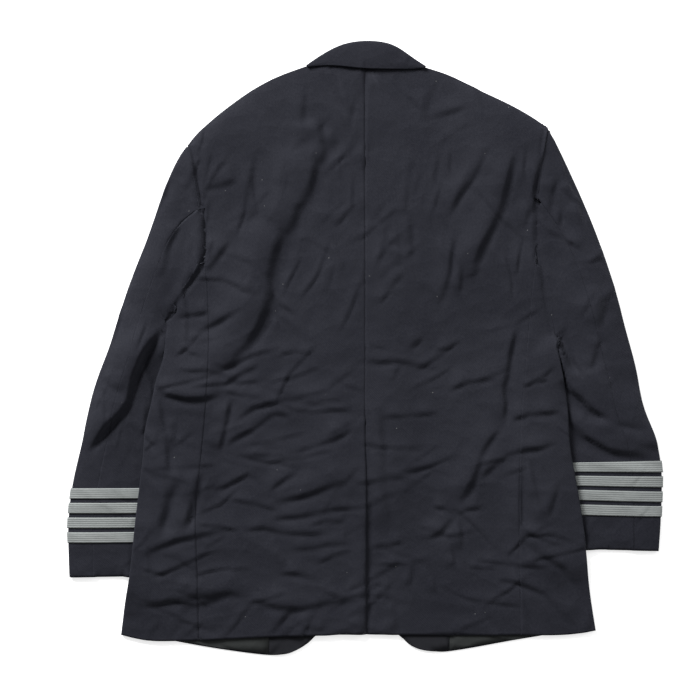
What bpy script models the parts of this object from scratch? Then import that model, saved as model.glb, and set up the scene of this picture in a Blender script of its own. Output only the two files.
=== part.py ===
"""A pilot's uniform jacket laid flat, face down, with its sleeves at its sides.

Metres, +Z up, +Y towards the collar. The wearer's left is at -X. Every piece of cloth is a grid
whose vertices are worked out from short tables of the garment's outline and from its layers'
heights, given a wall by Solidify. What lies on a piece is made from its points, moved out.
"""
import bisect
import math

import bmesh
import bpy
from mathutils import Vector

# Thicknesses and gaps
WALL = 0.0016
THIN_WALL = 0.0010
BRAID_WALL = 0.0010
SEAM_GAP = 0.0003
LAYER_GAP = 0.0005

# Heights of the layers' middle surfaces
FLOOR_LAYER = WALL / 2
STEP = WALL + LAYER_GAP
BACK_LAYER = 0.0054
SHOULDER_EDGE = 0.0035
CHEST_LIFT = STEP
BUTTON_HEIGHT = 0.0040
PLACKET_LIFT = BUTTON_HEIGHT + LAYER_GAP
SLEEVE_GAP = 0.0010
UPPER_SLEEVE = FLOOR_LAYER + WALL + SLEEVE_GAP
BRAID_OUT = WALL / 2 + SEAM_GAP + BRAID_WALL / 2 + 0.0001
CUFF_LIFT = BRAID_OUT + BRAID_WALL / 2 - WALL / 2
TUCK_LIFT = UPPER_SLEEVE + WALL / 2 + 0.0009
TUCK_CUFF_LIFT = 2 * CUFF_LIFT + 0.0002

# Front edges, buttons and vent
CENTRE = 0.001
BUTTONS = 3
BUTTON_RADIUS = 0.0095
BUTTON_FACE_RADIUS = 0.0068
BUTTON_PITCH = 0.110
TOP_BUTTON_Y = 0.072
VENT_TOP = -0.145
VENT_UNDERLAP = 0.035
VENT_OVERLAP = 0.0018
VENT_DROP = STEP + 0.0003
VENT_RISE = 0.0028

# Braid on the cuffs
BRAIDS = 4
BRAID_WIDTH = 0.0143
BRAID_PITCH = 0.0198
BRAID_ABOVE_HEM = 0.0465
BRAID_MEASURED_AT = 0.3

# Mesh divisions
SIDE_ROWS = 22
SHOULDER_ROWS = 5
ARMPIT_COLUMNS = 3
BACK_COLUMNS = 10
TURN = 4

LEFT, RIGHT = "left", "right"
SIDES = (LEFT, RIGHT)

# Outlines, from the bottom up or from the sleeve in, as (x, y)
SHOULDER = {
    LEFT: [(-.235, .277), (-.223, .292), (-.169, .336), (-.123, .364), (-.080, .380)],
    RIGHT: [(.244, .300), (.209, .322), (.172, .340), (.142, .354), (.120, .367), (.085, .378)],
}
NECK = {
    LEFT: [(-.080, .380), (-.055, .388), (-.030, .391), (.001, .392)],
    RIGHT: [(.085, .378), (.060, .386), (.032, .391), (.001, .392)],
}
SIDE_SEAM = {
    LEFT: [(-.223, -.394), (-.224, -.329), (-.227, -.213), (-.223, -.178), (-.211, -.039),
           (-.210, .039), (-.215, .130)],
    RIGHT: [(.211, -.387), (.208, -.206), (.211, -.093), (.221, .020), (.232, .136)],
}
ARMHOLE_UP = {
    LEFT: [(-.215, .130), (-.215, .160), (-.219, .192), (-.226, .228), (-.235, .277)],
    RIGHT: [(.232, .136), (.230, .174), (.230, .200), (.235, .245), (.244, .300)],
}
ARMHOLE_UNDER = {
    LEFT: [(-.269, .039), (-.253, .066), (-.239, .084), (-.221, .106), (-.215, .130)],
    RIGHT: [(.258, .014), (.250, .033), (.244, .066), (.236, .106), (.232, .136)],
}
BODY_EDGE = {
    LEFT: [(-.329, -.387), (-.323, -.341), (-.317, -.310), (-.308, -.225), (-.298, -.145),
           (-.296, -.109), (-.288, -.078), (-.279, -.034), (-.2705, -.014), (-.2690, .012),
           (-.269, .039)],
    RIGHT: [(.313, -.381), (.307, -.344), (.302, -.304), (.295, -.237), (.282, -.160),
            (.277, -.133), (.275, -.090), (.272, -.059), (.2668, -.032), (.2618, -.006),
            (.258, .014)],
}
BACK_HEM = {
    LEFT: [(-.223, -.394), (-.136, -.390), (-.057, -.3875), (.0013, -.3860)],
    RIGHT: [(.211, -.387), (.120, -.3875), (.0013, -.3860)],
}
SIDE_HEM = {
    LEFT: [(-.329, -.387), (-.308, -.3945), (-.265, -.3955), (-.223, -.394)],
    RIGHT: [(.313, -.381), (.290, -.386), (.250, -.3875), (.211, -.387)],
}
FRONT_HEM = {
    LEFT: [(-.198, -.4060), (-.136, -.4145), (-.115, -.4155),
           (-.100, -.4135)],
    RIGHT: [(.199, -.3950), (.150, -.4040), (.120, -.4090),
            (.094, -.4120)],
}
FRONT_EDGE = {
    LEFT: [(-.100, -.4135), (-.076, -.402), (-.064, -.392), (-.053, -.380), (-.030, -.345),
           (-.006, -.280), (.012, -.200), (.019, -.120), (.020, -.020), (.020, .090),
           (-.026, .229), (-.072, .368)],
    RIGHT: [(.094, -.4120), (.070, -.4100), (.055, -.400), (.040, -.3875), (.020, -.360),
            (.002, -.315), (-.011, -.250), (-.017, -.180), (-.018, -.120), (-.018, .090),
            (.027, .229), (.074, .368)],
}

# The sleeves' sections: the outer edge's point and the hidden inner edge's, for each section;
# puff is how far its upper face stands up, tucked is where across it goes under the body
SLEEVE_COLUMNS = ("outer_x", "outer_y", "inner_x", "inner_y", "puff", "tucked")
SLEEVE_TABLE = {
    LEFT: [
        (-.2378, .277, -.2698, .039, .0000, 1.05),
        (-.257, .248, -.2708, .026, .0040, 1.05),
        (-.276, .200, -.2705, .012, .0080, 1.05),
        (-.293, .147, -.2695, -.003, .0095, .96),
        (-.309, .111, -.2665, -.019, .0095, .86),
        (-.334, .039, -.261, -.038, .0085, .77),
        (-.346, -.007, -.257, -.060, .0075, .70),
        (-.363, -.041, -.255, -.082, .0070, .62),
        (-.375, -.099, -.253, -.112, .0060, .58),
        (-.385, -.142, -.2525, -.144, .0045, .55),
        (-.395, -.184, -.2535, -.184, .0030, .54),
        (-.4005, -.232, -.256, -.232, .0020, .53),
        (-.400, -.270, -.259, -.269, .0018, .52),
        (-.3985, -.3095, -.262, -.3075, .0015, .52),
    ],
    RIGHT: [
        (.2470, .300, .2588, .014, .0000, 1.05),
        (.266, .263, .2612, .002, .0040, 1.05),
        (.285, .222, .2635, -.010, .0080, 1.05),
        (.304, .180, .2630, -.023, .0095, .88),
        (.323, .130, .2555, -.042, .0095, .80),
        (.344, .066, .250, -.058, .0085, .73),
        (.356, .012, .246, -.080, .0075, .72),
        (.370, -.030, .242, -.100, .0070, .68),
        (.373, -.072, .239, -.118, .0065, .66),
        (.394, -.118, .238, -.136, .0055, .66),
        (.4018, -.160, .240, -.160, .0035, .64),
        (.4022, -.196, .2435, -.192, .0022, .62),
        (.4005, -.235, .249, -.232, .0018, .60),
        (.398, -.2740, .257, -.2705, .0015, .58),
    ],
}
BOW_FADES = 0.070
HINDARM_AT_ARMHOLE = ARMPIT_COLUMNS / (ARMPIT_COLUMNS + SHOULDER_ROWS)
HINDARM_AT_CUFF = 0.24
SLEEVE_ROWS = 16
FIRST_SECTION = 0.0015

# The largest folds: both ends of each ridge, its height and half width
FOLD_COLUMNS = ("x0", "y0", "x1", "y1", "height", "width")
FOLDS = [
    (-.100, .335, -.086, .225, .0035, .020),
    (-.112, .205, -.142, .130, .0050, .018),
    (-.146, .140, -.158, .040, .0060, .020),
    (-.158, .045, -.215, -.022, .0055, .020),
    (.183, .270, .160, .160, .0060, .020),
    (.158, .170, .120, .080, .0045, .018),
    (.225, .030, .212, -.085, .0050, .018),
    (.190, -.100, .118, -.205, .0045, .020),
    (-.290, -.040, -.200, -.052, .0040, .018),
    (-.170, -.215, -.020, -.160, .0035, .022),
    (-.290, -.270, -.050, -.240, .0040, .022),
    (.232, -.150, .238, -.255, .0035, .018),
    (.160, -.300, .280, -.360, .0040, .022),
    (.030, -.060, .036, -.255, .0030, .020),
    (-.210, -.330, -.040, -.320, .0030, .020),
]


def smooth(t):
    """Nought to one with soft ends."""
    t = min(max(t, 0.0), 1.0)
    return t * t * (3 - 2 * t)


def spline(points):
    """A smooth curve through the points, read from 0 to 1 along its length."""
    knots = [Vector(point) for point in points]
    reach = [0.0]
    for a, b in zip(knots, knots[1:]):
        reach.append(reach[-1] + (b - a).length)

    def slope(i):
        low, high = max(i - 1, 0), min(i + 1, len(knots) - 1)
        return (knots[high] - knots[low]) / (reach[high] - reach[low])

    def at(t):
        s = min(max(t, 0.0), 1.0) * reach[-1]
        i = min(max(bisect.bisect_right(reach, s) - 1, 0), len(knots) - 2)
        span = reach[i + 1] - reach[i]
        w = (s - reach[i]) / span
        start = (2 * w**3 - 3 * w**2 + 1) * knots[i] + (w**3 - 2 * w**2 + w) * span * slope(i)
        end = (3 * w**2 - 2 * w**3) * knots[i + 1] + (w**3 - w**2) * span * slope(i + 1)
        return start + end
    return at


def joined(first, second, split):
    """Two curves end to end, the first read up to split."""
    def at(t):
        return first(t / split) if t <= split else second((t - split) / (1 - split))
    return at


def part_of(curve, start, end):
    return lambda t: curve(start + (end - start) * t)


def part_of_patch(patch, u):
    return lambda t: patch(u, t)


def coons(bottom, top, left, right):
    """A flat patch between four curves: u runs from left to right and v from bottom to top."""
    corners = bottom(0), bottom(1), top(0), top(1)

    def at(u, v):
        ruled = (1 - v) * bottom(u) + v * top(u) + (1 - u) * left(v) + u * right(v)
        blend = (1 - u) * (1 - v), u * (1 - v), (1 - u) * v, u * v
        return ruled - sum((w * c for w, c in zip(blend, corners)), Vector((0, 0)))
    return at


def steps(count, start=0.0, end=1.0):
    return [start + (end - start) * i / count for i in range(count + 1)]


def ramp(value, start, run):
    """Nought before start and one after run more; a negative run falls instead."""
    return smooth((value - start) / run)


def shoulder_distance(x, y):
    """How far a point lies inside the shoulder seam."""
    line = SHOULDER[LEFT if x < 0 else RIGHT]
    near = 1.0
    for a, b in zip(line, line[1:]):
        a, b, p = Vector(a), Vector(b), Vector((x, y))
        t = min(max((p - a).dot(b - a) / (b - a).length_squared, 0.0), 1.0)
        near = min(near, (p - a.lerp(b, t)).length)
    return near


def tuck_x(side, y):
    """How far from the centre the tucked edge of a sleeve lies, at height y."""
    rows = [(row[3], abs(row[2])) for row in SLEEVE_TABLE[side]]
    for (y1, x1), (y0, x0) in zip(rows, rows[1:]):
        if y0 <= y <= y1:
            return x0 + (x1 - x0) * (y - y0) / (y1 - y0)
    return rows[0][1] if y > rows[0][0] else rows[-1][1]


TUCK_REACH, TUCK_RAMP = 0.070, 0.056
CUFF_REACH = 0.185


def over_sleeve(x, y):
    """How far the body's layers are lifted by the sleeve tucked under their edge."""
    side = LEFT if x < 0 else RIGHT
    armpit = ARMHOLE_UNDER[side][0][1]
    hem = SLEEVE_TABLE[side][-1][3]
    across = ramp(abs(x), tuck_x(side, y) - TUCK_REACH, TUCK_RAMP)
    along = ramp(y, armpit + .004, -.030) * ramp(y, hem - .055, .040)
    cuff = TUCK_CUFF_LIFT * ramp(y, hem + CUFF_REACH, -.035)
    return across * along * (TUCK_LIFT + cuff)


CHEST_FROM, CHEST_RAMP = 0.015, 0.070


def chest(y):
    """The lapels lie under the chest and lift it."""
    return CHEST_LIFT * ramp(y, CHEST_FROM, CHEST_RAMP)


PLACKET_HALF_WIDTH, PLACKET_SIDE = 0.082, 0.042
PLACKET_BOTTOM, PLACKET_TOP, PLACKET_END = -0.235, 0.165, 0.050


def placket(x, y):
    """The buttons lift the middle of the fronts."""
    across = ramp(abs(x - CENTRE), PLACKET_HALF_WIDTH, -PLACKET_SIDE)
    along = ramp(y, PLACKET_BOTTOM, PLACKET_END) * ramp(y, PLACKET_TOP, -PLACKET_END)
    return PLACKET_LIFT * across * along


FLAP_SINK = 0.90
FLAP_REACH, FLAP_RAMP = 0.085, 0.048
FLAPS = {LEFT: (-.283, -.170, -.127, -.066), RIGHT: (.158, .270, -.196, -.136)}


def flap_lift(x, y):
    """The pocket flap lifts the front that lies on it."""
    x0, x1, y0, y1 = FLAPS[LEFT if x < 0 else RIGHT]
    outside = max(x0 - x, x - x1, y0 - y, y - y1, 0)
    return STEP * ramp(outside, FLAP_REACH, -FLAP_RAMP)


def front_base(x, y):
    return over_sleeve(x, y) + max(chest(y), placket(x, y)) + flap_lift(x, y)


FRONT_LAP_LIFT = STEP * 1.25
FRONT_LAP_X, FRONT_LAP_SIDE = 0.098, 0.046
FRONT_LAP_BOTTOM, FRONT_LAP_TOP, FRONT_LAP_END = -0.350, 0.225, 0.050


def front_height(side):
    """The left front lies lowest, and the right front's edge lies on it."""
    def at(x, y):
        height = FLOOR_LAYER + front_base(x, y)
        if side == RIGHT:
            lap = ramp(x, FRONT_LAP_X, -FRONT_LAP_SIDE)
            lap *= ramp(y, FRONT_LAP_BOTTOM, FRONT_LAP_END) * ramp(y, FRONT_LAP_TOP, -FRONT_LAP_END)
            height += FRONT_LAP_LIFT * lap
        return height
    return at


RIDGE_END = 0.08


def ridge(x, y, fold):
    row = dict(zip(FOLD_COLUMNS, fold))
    a, b = Vector((row["x0"], row["y0"])), Vector((row["x1"], row["y1"]))
    t = (Vector((x, y)) - a).dot(b - a) / (b - a).length_squared
    off = (Vector((x, y)) - a.lerp(b, min(max(t, 0.0), 1.0))).length
    taper = math.sin(math.pi * min(max(t * (1 - 2 * RIDGE_END) + RIDGE_END, 0.0), 1.0))
    return row["height"] * taper * math.exp(-(off / row["width"]) ** 2)


VENT_MIDDLE = CENTRE - 0.015
BACK_LAP_LIFT = 0.0012
SHOULDER_PAD = 0.0065
SHOULDER_ROUND = 0.022
RIDGE_CLEAR = 0.030


def back_height(x, y):
    """The back, over the fronts, with its pads, its vent and its largest folds."""
    base = front_base(x, y)
    from_centre = abs(x - CENTRE)
    lap = ramp(from_centre, .12, -.06) * ramp(y, .22, -.05) * ramp(y, -.32, .05)
    vent = ramp(abs(x - VENT_MIDDLE), .075, -.045) * ramp(y, -.080, -.05)
    pad = ramp(from_centre, .09, .09) * ramp(y, .17, .12)
    full = BACK_LAYER + base + BACK_LAP_LIFT * lap + VENT_RISE * vent + SHOULDER_PAD * pad
    full += sum(ridge(x, y, fold) for fold in FOLDS) * smooth(shoulder_distance(x, y) / RIDGE_CLEAR)
    inside = min(shoulder_distance(x, y) / SHOULDER_ROUND, 1.0)
    edge = math.sqrt(1 - (1 - inside) ** 2)
    low = SHOULDER_EDGE + chest(y)
    return low + (full - low) * edge


def right_back_height(x, y):
    """The right half drops under the left one along the vent."""
    drop = ramp(x, .048, -.034) * ramp(y, VENT_TOP + .070, -.034)
    return back_height(x, y) - VENT_DROP * drop


COLLECTION = bpy.data.collections.new("pilot_uniform_jacket")


def clear_scene():
    for obj in list(bpy.data.objects):
        bpy.data.objects.remove(obj, do_unlink=True)
    bpy.context.scene.collection.children.link(COLLECTION)


def finish(name, colour, roughness, metallic=0.0):
    material = bpy.data.materials.new(name)
    material.use_nodes = True
    shader = material.node_tree.nodes["Principled BSDF"]
    shader.inputs["Base Color"].default_value = (*colour, 1.0)
    shader.inputs["Roughness"].default_value = roughness
    shader.inputs["Metallic"].default_value = metallic
    return material


def place(name, mesh, colour, roughness, metallic=0.0):
    mesh.materials.append(finish(name + "_finish", colour, roughness, metallic))
    obj = bpy.data.objects.new(name, mesh)
    COLLECTION.objects.link(obj)
    return obj


WOOL = ((.024, .025, .035), .9)
LINING = ((.042, .045, .045), .6)
BRAID = ((.40, .40, .42), .5, .3)
BUTTON = ((.55, .55, .56), .35, .9)


def cloth(name, rows, look=WOOL, wall=WALL, closed=False):
    """A grid with a vertex at each point of the rows, given the cloth's wall."""
    bm = bmesh.new()
    bmesh.ops.create_grid(bm, x_segments=len(rows[0]) - 1, y_segments=len(rows) - 1, size=1)
    for vert, point in zip(bm.verts, [point for row in rows for point in row]):
        vert.co = point
    if closed:
        bmesh.ops.remove_doubles(bm, verts=bm.verts, dist=1e-6)
    mesh = bpy.data.meshes.new(name)
    bm.to_mesh(mesh)
    bm.free()
    mesh.shade_smooth()
    obj = place(name, mesh, *look)
    shell = obj.modifiers.new("wall", "SOLIDIFY")
    shell.thickness = wall
    shell.offset = 0
    return obj


def laid(patch, height, us, vs):
    """The patch's points at their heights, a row for each v."""
    rows = []
    for v in vs:
        points = [patch(u, v) for u in us]
        rows.append([Vector((p.x, p.y, height(p.x, p.y))) for p in points])
    return rows


def side_share(side):
    """How far up the back's outer boundary its side seam ends."""
    seam = spline(SIDE_SEAM[side])
    hole = spline(ARMHOLE_UP[side])
    lengths = []
    for curve in (seam, hole):
        points = [curve(t) for t in steps(24)]
        lengths.append(sum((b - a).length for a, b in zip(points, points[1:])))
    return lengths[0] / sum(lengths)


SHOULDER_SHARE = 0.70


def back_patch(side):
    """The back's outline, with its vent, its lower corner and its gaps to its neighbours."""
    share = side_share(side)
    hem = spline(BACK_HEM[side])
    inward = 1 if side == LEFT else -1
    gap = SEAM_GAP / 2 * inward
    outer = joined(spline(SIDE_SEAM[side]), spline(ARMHOLE_UP[side]), share)
    top = joined(spline(SHOULDER[side]), spline(NECK[side]), SHOULDER_SHARE)

    def centre(t):
        y = hem(1).y + (NECK[side][-1][1] - hem(1).y) * t
        return Vector((CENTRE - gap, y))

    def lapped(t):
        point = centre(t)
        if side == LEFT:
            return point + Vector((VENT_OVERLAP * ramp(point.y, VENT_TOP, -.02), 0))
        return point - Vector((VENT_UNDERLAP * ramp(point.y, VENT_TOP + .008, -.016), 0))

    end = lapped(0)

    def bottom(t):
        point = hem(t)
        share_in = ramp(t, .6, .4)
        return point + Vector(((end.x - hem(1).x) * share_in, (end.y - hem(1).y) * share_in))

    neck_end = lapped(1)
    shift = Vector((2 * gap, 0))

    def outer_in(t):
        return outer(t) + shift * (1 if t < share else 2)

    def top_in(t):
        return top(t) + (neck_end - top(1)) * ramp(t, .9, .1) + shift * 2 * ramp(t, .1, -.1)
    return coons(bottom, top_in, outer_in, lapped)


TURN_ROW, TOP_INSET = 0.012, 0.0002
FIRST_COLUMN = 0.045


def back_rows(side):
    share = side_share(side)
    upper = steps(SHOULDER_ROWS, share, 1.0)[1:]
    return steps(SIDE_ROWS, 0.0, share) + upper[:-1] + [1 - TURN_ROW, 1 - TOP_INSET]


def build_back(side):
    patch = back_patch(side)
    height = back_height if side == LEFT else right_back_height
    us = [0.0, FIRST_COLUMN] + steps(BACK_COLUMNS)[1:]
    return cloth(f"back_{side}", laid(patch, height, us, back_rows(side)))


def side_patch(side):
    """The side panel, from the body's edge at u = 0 to the side seam at u = 1."""
    return coons(spline(SIDE_HEM[side]), spline(ARMHOLE_UNDER[side]), spline(BODY_EDGE[side]),
                 spline(SIDE_SEAM[side]))


def turn_points(edge, inward, upper, lower):
    """A turned edge: from the upper face round the outline to the lower face."""
    middle, radius = (upper + lower) / 2, (upper - lower) / 2
    points = []
    for k in range(TURN + 1):
        angle = math.pi * k / TURN
        out = edge + inward * (radius + WALL / 2 - radius * math.sin(angle))
        points.append(Vector((out.x, out.y, middle + radius * math.cos(angle))))
    return points


def inward_normal(curve, t, towards):
    along = curve(min(t + .01, 1.0)) - curve(max(t - .01, 0.0))
    normal = Vector((-along.y, along.x)).normalized()
    return normal if normal.dot(towards) > 0 else -normal


FRONT_SEAM = 2 / ARMPIT_COLUMNS
ARMPIT_SHARE = 0.12
EDGE_RADIUS = 0.003
LEAST_TURN = 0.0036


def build_side(side):
    """The panel runs from the side seam over the body's edge and a little way under."""
    patch = side_patch(side)
    edge = spline(BODY_EDGE[side])
    low = front_height(side)
    top_gap = SEAM_GAP / ARMPIT_SHARE
    rows = []
    for v in steps(SIDE_ROWS):
        v = min(v, 1 - top_gap)
        over = [patch(1 - k / ARMPIT_COLUMNS, v) for k in range(ARMPIT_COLUMNS)]
        rim = edge(v)
        inward = inward_normal(edge, v, Vector((-rim.x, 0)))
        inner = rim + inward * EDGE_RADIUS
        top_z, low_z = back_height(inner.x, inner.y), low(inner.x, inner.y)
        row = [Vector((p.x, p.y, back_height(p.x, p.y))) for p in over]
        row += turn_points(rim, inward, max(top_z, low_z + LEAST_TURN), low_z)
        row += [Vector((p.x, p.y, low(p.x, p.y))) for p in (patch(1 / 3, v), patch(FRONT_SEAM, v))]
        rows.append(row)
    return cloth(f"side_{side}", rows)


FRONT_SIDE_SHARE = 0.76
FRONT_UNDER_SHARE = 0.20
FRONT_GAPS = (0.0016, 0.0030)
FRONT_SHOULDER_RAMP = 0.020
FRONT_ROWS = 17
FRONT_COLUMNS = [0.0, .07, .14, .21, .29, .38, .48, .60, .73, .86, 1.0]


def build_front(side):
    """The front lies under the back, from the side panel's hidden seam to its own edge."""
    patch = side_patch(side)
    under = part_of(spline(ARMHOLE_UNDER[side]), FRONT_SEAM, 1.0)
    hole = joined(under, spline(ARMHOLE_UP[side]), FRONT_UNDER_SHARE)
    outer = joined(part_of_patch(patch, FRONT_SEAM), hole, FRONT_SIDE_SHARE)
    hem = FRONT_HEM[side]
    start = tuple(outer(0))
    top = SHOULDER[side][:-1] + [FRONT_EDGE[side][-1]]
    front = coons(spline([start] + hem), spline(top), outer, spline(FRONT_EDGE[side]))
    inward = 1 if side == LEFT else -1
    height = front_height(side)

    def settled(x, y):
        clear = smooth(shoulder_distance(x, y) / FRONT_SHOULDER_RAMP)
        return height(x, y) * clear + (FLOOR_LAYER + chest(y)) * (1 - clear)
    vs = steps(FRONT_ROWS)
    vs[-1] = 1 - 2 * TOP_INSET
    rows = laid(front, settled, FRONT_COLUMNS, vs)
    for v, row in zip(vs, rows):
        row[0].x += FRONT_GAPS[v > FRONT_SIDE_SHARE - .02] * inward
    return cloth(f"front_{side}", rows)


HOLE_SHARE = 0.16
CUFF_FROM = 0.67
PUFF_FULLNESS = 0.7


def sleeve(side):
    """A sleeve's outline as a patch, with the heights of its upper and lower faces."""
    table = [dict(zip(SLEEVE_COLUMNS, row)) for row in SLEEVE_TABLE[side]]
    last = len(table) - 1
    hole = joined(part_of(spline(ARMHOLE_UP[side]), 1.0, 0.0),
                  part_of(spline(ARMHOLE_UNDER[side]), 1.0, 0.0),
                  SHOULDER_ROWS / (SHOULDER_ROWS + ARMPIT_COLUMNS))
    outer = spline([(row["outer_x"], row["outer_y"]) for row in table])
    inner = spline([(row["inner_x"], row["inner_y"]) for row in table])
    lengths = []
    for curve_name in ("outer", "inner"):
        reach = [0.0]
        for a, b in zip(table, table[1:]):
            step = math.hypot(b[curve_name + "_x"] - a[curve_name + "_x"],
                              b[curve_name + "_y"] - a[curve_name + "_y"])
            reach.append(reach[-1] + step)
        lengths.append([value / reach[-1] for value in reach])

    def mix(values, v):
        at = min(max(v, 0.0), 1.0) * last
        i = min(int(at), last - 1)
        return values[i] + (values[i + 1] - values[i]) * (at - i)

    def edge(v):
        return outer(mix(lengths[0], v))

    def tuck(v):
        return inner(mix(lengths[1], v))

    def patch(u, v):
        a, b = edge(v), tuck(v)
        bow = hole(u) - (hole(0).lerp(hole(1), u))
        return a.lerp(b, u) + bow * math.exp(-v / BOW_FADES)

    def low(u, v):
        point = patch(u, v)
        at_hole = 1 - smooth(v / HOLE_SHARE)
        start = FLOOR_LAYER + chest(point.y)
        cuff = CUFF_LIFT * ramp(v, CUFF_FROM, .05)
        return FLOOR_LAYER + cuff + (start - FLOOR_LAYER) * at_hole

    def high(u, v):
        point = patch(u, v)
        tucked = mix([row["tucked"] for row in table], v)
        puff = mix([row["puff"] for row in table], v)
        over = puff * math.sin(math.pi * min(max(u / tucked, 0.0), 1.0)) ** PUFF_FULLNESS
        own = low(u, v) + WALL + SLEEVE_GAP + over
        outside = WALL * (1 - ramp(v, .5, .2)) * (1 - smooth(u / .5))
        at_hole = 1 - smooth(v / HOLE_SHARE)
        return max((own + outside) * (1 - at_hole) + back_height(point.x, point.y) * at_hole,
                   low(u, v) + WALL + 2 * SEAM_GAP)
    return patch, low, high, edge, tuck


def sleeve_ring(side, v, over, under):
    """The section at v: over the upper face, round the edge that is reached, and under it."""
    patch, low, high, edge, tuck = sleeve(side)
    outward = over[0] > over[-1]
    rim, curve = (edge(v), edge) if outward else (tuck(v), tuck)
    towards = Vector((-rim.x if outward else rim.x, 0))
    inward = inward_normal(curve, v, towards)
    turn_u = 0.0 if outward else 1.0
    row = [Vector((*patch(u, v), high(u, v))) for u in over]
    row += turn_points(rim, inward, high(turn_u, v), low(turn_u, v))
    row += [Vector((*patch(u, v), low(u, v))) for u in under]
    return row


FOREARM = 0.5
HINDARM_ENDS = 0.91
CUFF_WIDTH, ARM_WIDTH = 0.14, 0.24


def sleeve_sections():
    return [FIRST_SECTION] + steps(SLEEVE_ROWS)[1:]


def hindarm(v):
    """How far across the sleeve its hindarm seam lies."""
    return HINDARM_AT_ARMHOLE + (HINDARM_AT_CUFF - HINDARM_AT_ARMHOLE) * smooth(v / HINDARM_ENDS)


def build_sleeve(side):
    """The top sleeve goes round the outer edge, and the under sleeve round the tucked one."""
    columns = ARMPIT_COLUMNS + SHOULDER_ROWS
    tops, unders = [], []
    for v in sleeve_sections():
        seam = hindarm(v)
        width = CUFF_WIDTH + (ARM_WIDTH - CUFF_WIDTH) * (1 - v)
        gap = SEAM_GAP * .8 / width
        top_over = [seam * k / 3 - gap * (k == 3) for k in (3, 2, 1)]
        rest = columns - 3
        under_over = [seam + (1 - seam) * k / rest + gap * (k == 0) for k in range(rest)]
        tops.append(sleeve_ring(side, v, top_over, (FOREARM / 2, FOREARM - 3 * gap)))
        unders.append(sleeve_ring(side, v, under_over, (.875, .75, .625, FOREARM + 3 * gap)))
    cloth(f"top_sleeve_{side}", tops)
    cloth(f"under_sleeve_{side}", unders)


def section_at(side, share, hem_distance):
    """The v of the section that lies hem_distance above the cuff's hem, share across it."""
    patch = sleeve(side)[0]
    target = patch(share, 1).y + hem_distance
    low, high = .5, 1.0
    for _ in range(24):
        middle = (low + high) / 2
        if patch(share, middle).y > target:
            low = middle
        else:
            high = middle
    return (low + high) / 2


def moved_out(row):
    """A closed ring of the sleeve's points moved out to the braid's middle surface."""
    count = len(row)
    moved = []
    for i, point in enumerate(row):
        along = row[(i + 1) % count] - row[i - 1]
        flat = Vector((along.x, 0, along.z)).normalized()
        normal = Vector((-flat.z, 0, flat.x))
        moved.append(point + normal * BRAID_OUT)
    return moved


def braid_ring(side, v):
    patch, low, high, edge, tuck = sleeve(side)
    seam = hindarm(v)
    rest = ARMPIT_COLUMNS + SHOULDER_ROWS - 3
    over = [seam + (1 - seam) * k / rest for k in range(rest - 1, -1, -1)] + [seam / 3 * 2, seam / 3]
    under = [FOREARM / 2, FOREARM, .75]
    outer_in = inward_normal(edge, v, Vector((-edge(v).x, 0)))
    tuck_in = inward_normal(tuck, v, Vector((tuck(v).x, 0)))
    row = [Vector((*patch(u, v), high(u, v))) for u in over]
    row += turn_points(edge(v), outer_in, high(0, v), low(0, v))
    row += [Vector((*patch(u, v), low(u, v))) for u in under]
    row += reversed(turn_points(tuck(v), tuck_in, high(1, v), low(1, v)))
    if side == LEFT:
        row.reverse()
    return moved_out(row)


def build_braids(side):
    for k in range(BRAIDS):
        lower = BRAID_ABOVE_HEM + BRAID_PITCH * (BRAIDS - 1 - k)
        rows = []
        for hem_distance in (lower, lower + BRAID_WIDTH):
            ring = braid_ring(side, section_at(side, BRAID_MEASURED_AT, hem_distance))
            rows.append(ring + [ring[0].copy()])
        cloth(f"braid_{side}_{k + 1}", rows, BRAID, BRAID_WALL, closed=True)


COLLAR_TOP = [(-.082, .379), (-.056, .397), (-.030, .4105), (.000, .4150), (.030, .4130),
              (.048, .406), (.062, .394), (.087, .378)]
COLLAR_FALL = [(-.078, .3785), (-.052, .382), (-.030, .380), (.002, .3765), (.040, .3760),
               (.062, .3765), (.083, .3775)]
LEAST_STAND = 0.006
FALL_DEPTH, FALL_GAP, FALL_SWELL = 0.036, 0.0012, 0.0026
COLLAR_SHARES = [.02, .10, .22, .34, .46, .58, .70, .82, .91, .98]


def build_collar():
    """The fall lies over the back's neck from the roll, and the stand rises under it."""
    top, fall = spline(COLLAR_TOP), spline(COLLAR_FALL)
    neck_level = BACK_LAYER + CHEST_LIFT
    falls, stands = [], []
    for t in COLLAR_SHARES:
        roll, end = top(t), fall(t)
        depth = (roll - end).length
        inward = (end - roll).normalized()
        swell = min(depth / FALL_DEPTH, 1.0)
        stand_z = neck_level + .0002
        fall_z = stand_z + WALL + FALL_GAP + FALL_SWELL * swell
        radius = (fall_z - stand_z) / 2
        row = []
        for share in (1.0, .72, .44):
            point = roll + inward * (radius + WALL / 2 + (depth - radius - WALL / 2) * share)
            edge_z = back_height(point.x, point.y) + WALL + FALL_GAP if share == 1.0 else fall_z
            row.append(Vector((point.x, point.y, max(edge_z, fall_z - .0012))))
        row += turn_points(roll, inward, fall_z, stand_z)
        falls.append(row)
        start = roll + inward * (radius + WALL / 2 + 2 * SEAM_GAP)
        neck = spline(NECK[LEFT])(t * 2) if t < .5 else spline(NECK[RIGHT])((1 - t) * 2)
        end_point = neck + Vector((0, .0006))
        if start.y - end_point.y > LEAST_STAND:
            stands.append([Vector((p.x, p.y, stand_z)) for p in (end_point, start)])
    cloth("collar_fall", falls)
    cloth("collar_stand", stands)


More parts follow.
